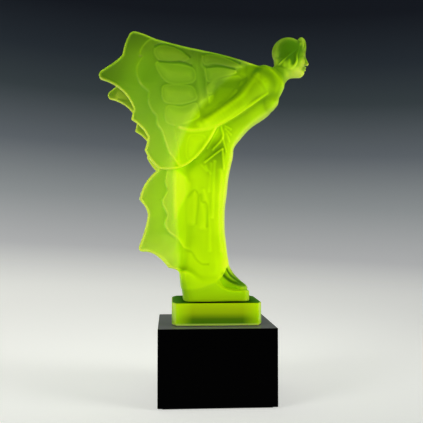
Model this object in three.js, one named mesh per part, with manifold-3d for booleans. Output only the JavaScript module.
// Winged-lady car mascot in moulded uranium glass, bonded to a glass tablet and a black glass plinth.
// Millimetres, +Z up. The origin is the middle of the felt's underside, on the surface it stands on.
// The figure faces +X and is symmetric about the plane y = 0.

import * as THREE from 'three';
import { mergeVertices } from 'three/addons/utils/BufferGeometryUtils.js';
import Module from 'manifold-3d';

const wasm = await Module();
wasm.setup();

// ---------------------------------------------------------------- driving dimensions

const FELT = { side: 74, height: 1 };
const PLINTH = { side: 80, height: 52, edge: 0.8 };
const BOND_HEIGHT = 0.2;
const BOND_INSET = 1;
const TABLET = { back: -30.5, front: 31.5, width: 56, height: 15.4, cut: [2.5, 8], edge: 0.7 };
const FOOT_BLOCK = { back: -23, front: 23.5, width: 40, height: 7.5, cut: [3, 3], edge: 0.6 };

const PLINTH_FLOOR = FELT.height;
const TABLET_BOND_FLOOR = PLINTH_FLOOR + PLINTH.height;
const TABLET_FLOOR = TABLET_BOND_FLOOR + BOND_HEIGHT;
const FIGURE_BOND_FLOOR = TABLET_FLOOR + TABLET.height;
const FIGURE_FLOOR = FIGURE_BOND_FLOOR + BOND_HEIGHT;

const WING_THICKNESS = 4;
const WING_REACH = 60;
const WING_SLAB = { back: -84, front: 42, bottom: 84, top: 258, columns: 11, rows: 12 };
const SECTION_SIDES = 24;
const CURVE_STEPS = 4;

// Robe and torso: each section is an ellipse from its front point to its back point,
// [front x, front z, back x, back z, half-width]. The lowest is inside the foot block.
const BODY_SECTIONS = [
  [7.5, 72, -23, 72, 17],
  [8.5, 85, -23.5, 85, 17.5],
  [10, 95, -24, 95, 17.5],
  [9, 105, -25, 105, 17],
  [7.6, 118, -26, 118, 16.5],
  [7.6, 133, -27, 133, 16.5],
  [9.1, 145, -27, 145, 17],
  [10.5, 158, -27, 158, 17.5],
  [13.5, 171, -25, 173, 17.5],
  [18.5, 183, -14, 197, 16],
  [27.5, 193.5, -2, 214, 15],
  [40, 202, 11, 226, 15],
  [46.5, 211, 24, 234, 15.5],
  [50, 221, 34, 236.5, 13],
];

// Wing outlines seen from the side: [x, z] of each corner, then the control point
// of the curve that leads to it where that edge is round.
const UPPER_WING_EDGE = [
  [38, 234],
  [0, 242.7, 20, 239],
  [-42, 249.5, -21, 245],
  [-58, 254, -50, 253.5],
  [-64.5, 237.5, -63, 247],
  [-80, 223.5],
  [-78, 219.5],
  [-57, 201, -62, 216],
  [-58.5, 193],
  [-47.5, 182.5, -50, 189.5],
  [-49.5, 173, -48, 176],
  [-39.5, 160.5, -46.5, 166],
  [-13, 167, -22, 159.5],
  [0.5, 191, -5, 180],
  [38, 220, 22, 205],
];
const LOWER_WING_EDGE = [
  [-14, 172],
  [-40, 161],
  [-53, 140, -51, 152],
  [-47.3, 129, -47.5, 134],
  [-53.5, 107, -49, 118],
  [-50.5, 103, -54.5, 103.5],
  [-33, 92, -42.3, 104.5],
  [-18, 88],
  [-8, 120],
];

// Arms: swept back and down along the wing, [x, side, z, radius] from shoulder to hand.
const ARM_POINTS = [
  [38, 12, 226, 7.5],
  [30, 17, 222, 6.5],
  [20, 19, 212, 5.5],
  [8, 20, 203.5, 5],
  [-6, 21, 194, 4.5],
  [-20, 22.5, 191, 3.5],
  [-30, 23.5, 191.5, 2.5],
];

const NECK = { foot: [43, 0, 228], top: [53, 0, 241], radius: 5.8 };
const HEAD = { centre: [57, 0, 244.5], radii: [11, 9.5, 13], tilt: 0.12 };
const HAIR = { centre: [51.5, 0, 243], radii: [9, 11, 9.5] };
const CAP = { centre: [54.3, 0, 249.6], radii: [11.9, 10.9, 11.4], brimTilt: -0.75, brimHeight: -3.4 };
const CAP_ROLL = { radius: 10.8, thickness: 1.4 };
const CAP_PEAK = { centre: [64.6, 0, 256.2], radii: [3, 7.6, 4.9] };
const CAP_CUTTER = 60;
const NOSE = { centre: [67.3, 0, 242], radii: [1.7, 1.5, 3.2] };
const CHIN = { centre: [60.5, 0, 236], radius: 4.8 };
const FOOT = { side: 6.3, toe: [11, 77], radii: [13.5, 6, 5], instep: [14, 79], ankle: [4.5, 96], barRadii: [5, 6] };

// ---------------------------------------------------------------- materials

const MATERIALS = {
  uraniumGlass: new THREE.MeshStandardMaterial({ color: 0x9bd110, roughness: 0.45, metalness: 0 }),
  blackGlass: new THREE.MeshStandardMaterial({ color: 0x020303, roughness: 0.05, metalness: 0 }),
  adhesive: new THREE.MeshStandardMaterial({ color: 0xdfe8d8, roughness: 0.2, metalness: 0 }),
  felt: new THREE.MeshStandardMaterial({ color: 0x101112, roughness: 0.95, metalness: 0 }),
};

// ---------------------------------------------------------------- solids and joins

function toSolid(geometry) {
  const bare = geometry.clone();
  bare.deleteAttribute('normal');
  bare.deleteAttribute('uv');
  const merged = mergeVertices(bare, 1e-4);
  return new wasm.Manifold(new wasm.Mesh({
    numProp: 3,
    vertProperties: Float32Array.from(merged.attributes.position.array),
    triVerts: Uint32Array.from(merged.index.array),
  }));
}

function toGeometry(solid) {
  const { numProp, vertProperties, triVerts } = solid.getMesh();
  const positions = [];
  for (let i = 0; i < vertProperties.length; i += numProp) {
    positions.push(...vertProperties.subarray(i, i + 3));
  }
  const geometry = new THREE.BufferGeometry();
  geometry.setAttribute('position', new THREE.Float32BufferAttribute(positions, 3));
  geometry.setIndex(Array.from(triVerts));
  geometry.computeVertexNormals();
  return geometry;
}

function unite(geometries) {
  return geometries.map(toSolid).reduce((whole, solid) => whole.add(solid));
}

function meshOf(name, geometry, material, floor = 0) {
  const mesh = new THREE.Mesh(geometry, material);
  mesh.name = name;
  mesh.position.z = floor;
  return mesh;
}

// ---------------------------------------------------------------- shapes

function outlineShape(corners) {
  const shape = new THREE.Shape();
  const [first, ...others] = corners;
  shape.moveTo(first[0], first[1]);
  for (const [x, z, controlX, controlZ] of others) {
    if (controlX === undefined) {
      shape.lineTo(x, z);
    } else {
      shape.quadraticCurveTo(controlX, controlZ, x, z);
    }
  }
  shape.closePath();
  return shape;
}

// A side-view outline made thick across y, from y = low to y = high.
function sideExtrusion(corners, low, high) {
  const geometry = new THREE.ExtrudeGeometry(outlineShape(corners), {
    depth: high - low,
    curveSegments: CURVE_STEPS,
    bevelEnabled: false,
  });
  geometry.rotateX(Math.PI / 2);
  return geometry.translate(0, high, 0);
}

// A flat block on its floor z = 0 with cut corners and a small chamfer round its top and bottom faces.
function block({ back, front, width, height, cut = [0.5, 0.5], edge }) {
  const [cutX, cutY] = [cut[0] + edge, cut[1] + edge];
  const [x0, x1, y1] = [back + edge, front - edge, width / 2 - edge];
  const plan = outlineShape([
    [x0 + cutX, -y1], [x1 - cutX, -y1], [x1, -y1 + cutY], [x1, y1 - cutY],
    [x1 - cutX, y1], [x0 + cutX, y1], [x0, y1 - cutY], [x0, -y1 + cutY],
  ]);
  const geometry = new THREE.ExtrudeGeometry(plan, {
    depth: height - 2 * edge,
    bevelThickness: edge,
    bevelSize: edge,
    bevelSegments: 1,
  });
  return geometry.translate(0, 0, edge);
}

function ellipsoid(centre, radii, across = 20, around = 14) {
  const geometry = new THREE.SphereGeometry(1, across, around);
  geometry.rotateX(Math.PI / 2);
  return geometry.scale(...radii).translate(...centre);
}

// A round bar from one point to another with a radius at each.
function taperedBar(from, to, fromRadius, toRadius) {
  const start = new THREE.Vector3(...from);
  const end = new THREE.Vector3(...to);
  const along = end.clone().sub(start);
  const geometry = new THREE.CylinderGeometry(toRadius, fromRadius, along.length(), 12);
  const turn = new THREE.Quaternion().setFromUnitVectors(new THREE.Vector3(0, 1, 0), along.normalize());
  const middle = start.add(end).multiplyScalar(0.5);
  return geometry.applyQuaternion(turn).translate(...middle);
}

// ---------------------------------------------------------------- figure

function body() {
  const rows = BODY_SECTIONS.length - 1;
  const geometry = new THREE.CylinderGeometry(1, 1, rows, SECTION_SIDES, rows);
  const position = geometry.attributes.position;
  for (let i = 0; i < position.count; i += 1) {
    const row = Math.round(position.getY(i) + rows / 2);
    const [frontX, frontZ, backX, backZ, halfWidth] = BODY_SECTIONS[row];
    const forward = position.getX(i);
    const x = (frontX + backX) / 2 + forward * (frontX - backX) / 2;
    const z = (frontZ + backZ) / 2 + forward * (frontZ - backZ) / 2;
    position.setXYZ(i, x, -position.getZ(i) * halfWidth, z);
  }
  return geometry;
}

const ramp = (value, low, high) => THREE.MathUtils.clamp((value - low) / (high - low), 0, 1);

// How far each wing's middle surface lies from the plane y = 0: both pairs open towards the back.
const upperWingSide = (x, z) => 14 + 18 * ramp(-x, -22, 78) * (0.5 + 0.5 * ramp(z, 160, 215));
const lowerWingSide = (x) => 10 + 9 * ramp(-x, 10, 54);

// A wing is the curved sheet that its side surface describes, cut to its outline.
function wing(edge, sideAt) {
  const { back, front, bottom, top, columns, rows } = WING_SLAB;
  const sheet = new THREE.BoxGeometry(front - back, 1, top - bottom, columns, 1, rows);
  sheet.translate((front + back) / 2, 0, (top + bottom) / 2);
  const position = sheet.attributes.position;
  for (let i = 0; i < position.count; i += 1) {
    const side = sideAt(position.getX(i), position.getZ(i));
    position.setY(i, side + position.getY(i) * WING_THICKNESS);
  }
  return toSolid(sheet).intersect(toSolid(sideExtrusion(edge, 0, WING_REACH)));
}

function arm() {
  const parts = [];
  ARM_POINTS.forEach(([x, side, z, radius], i) => {
    parts.push(ellipsoid([x, side, z], [radius, radius, radius], 12, 8));
    if (i > 0) {
      const [lastX, lastSide, lastZ, lastRadius] = ARM_POINTS[i - 1];
      parts.push(taperedBar([lastX, lastSide, lastZ], [x, side, z], lastRadius, radius));
    }
  });
  return unite(parts);
}

// A close cap: the part of an ellipsoid above its tilted brim, with a rolled edge and a peak in front.
function cap() {
  const { centre, radii, brimTilt, brimHeight } = CAP;
  const keep = new THREE.BoxGeometry(CAP_CUTTER, CAP_CUTTER, CAP_CUTTER);
  keep.translate(0, 0, brimHeight + CAP_CUTTER / 2).rotateY(brimTilt).translate(...centre);
  const roll = new THREE.TorusGeometry(CAP_ROLL.radius, CAP_ROLL.thickness, 8, 28);
  roll.translate(0, 0, brimHeight).rotateY(brimTilt).translate(...centre);
  const crown = toSolid(ellipsoid(centre, radii)).intersect(toSolid(keep));
  return crown.add(toSolid(roll)).add(toSolid(ellipsoid(CAP_PEAK.centre, CAP_PEAK.radii, 12, 8)));
}

function head() {
  const skull = ellipsoid([0, 0, 0], HEAD.radii).rotateY(HEAD.tilt).translate(...HEAD.centre);
  const parts = [
    skull,
    ellipsoid(HAIR.centre, HAIR.radii),
    ellipsoid(NOSE.centre, NOSE.radii, 10, 8),
    ellipsoid(CHIN.centre, [CHIN.radius, CHIN.radius, CHIN.radius], 14, 10),
    taperedBar(NECK.foot, NECK.top, NECK.radius + 1, NECK.radius),
  ];
  return unite(parts).add(cap());
}

function feet() {
  const { side, toe, radii, instep, ankle, barRadii } = FOOT;
  const parts = [];
  for (const y of [-side, side]) {
    parts.push(ellipsoid([toe[0], y, toe[1]], radii, 16, 10));
    parts.push(taperedBar([instep[0], y, instep[1]], [ankle[0], y, ankle[1]], ...barRadii));
  }
  return unite(parts);
}

function figure() {
  const footBlock = block(FOOT_BLOCK).translate(0, 0, FIGURE_FLOOR);
  const half = wing(UPPER_WING_EDGE, upperWingSide).add(wing(LOWER_WING_EDGE, lowerWingSide)).add(arm());
  const whole = unite([footBlock, body()]).add(half).add(half.mirror([0, 1, 0])).add(head()).add(feet());
  return toGeometry(whole);
}

// ---------------------------------------------------------------- assembly

function square(side, height, edge) {
  return { back: -side / 2, front: side / 2, width: side, height, cut: [0.3, 0.3], edge };
}

function bondUnder({ back, front, width, cut }) {
  const film = { back: back + BOND_INSET, front: front - BOND_INSET, width: width - 2 * BOND_INSET, cut };
  return block({ ...film, height: BOND_HEIGHT, edge: 0.05 });
}

const { uraniumGlass, blackGlass, adhesive, felt } = MATERIALS;
const mascot = new THREE.Group();
mascot.add(
  meshOf('felt_base', block(square(FELT.side, FELT.height, 0.1)), felt),
  meshOf('black_plinth', block(square(PLINTH.side, PLINTH.height, PLINTH.edge)), blackGlass, PLINTH_FLOOR),
  meshOf('tablet_bond', bondUnder(TABLET), adhesive, TABLET_BOND_FLOOR),
  meshOf('glass_tablet', block(TABLET), uraniumGlass, TABLET_FLOOR),
  meshOf('figure_bond', bondUnder(FOOT_BLOCK), adhesive, FIGURE_BOND_FLOOR),
  meshOf('figure_casting', figure(), uraniumGlass),
);

export default mascot;
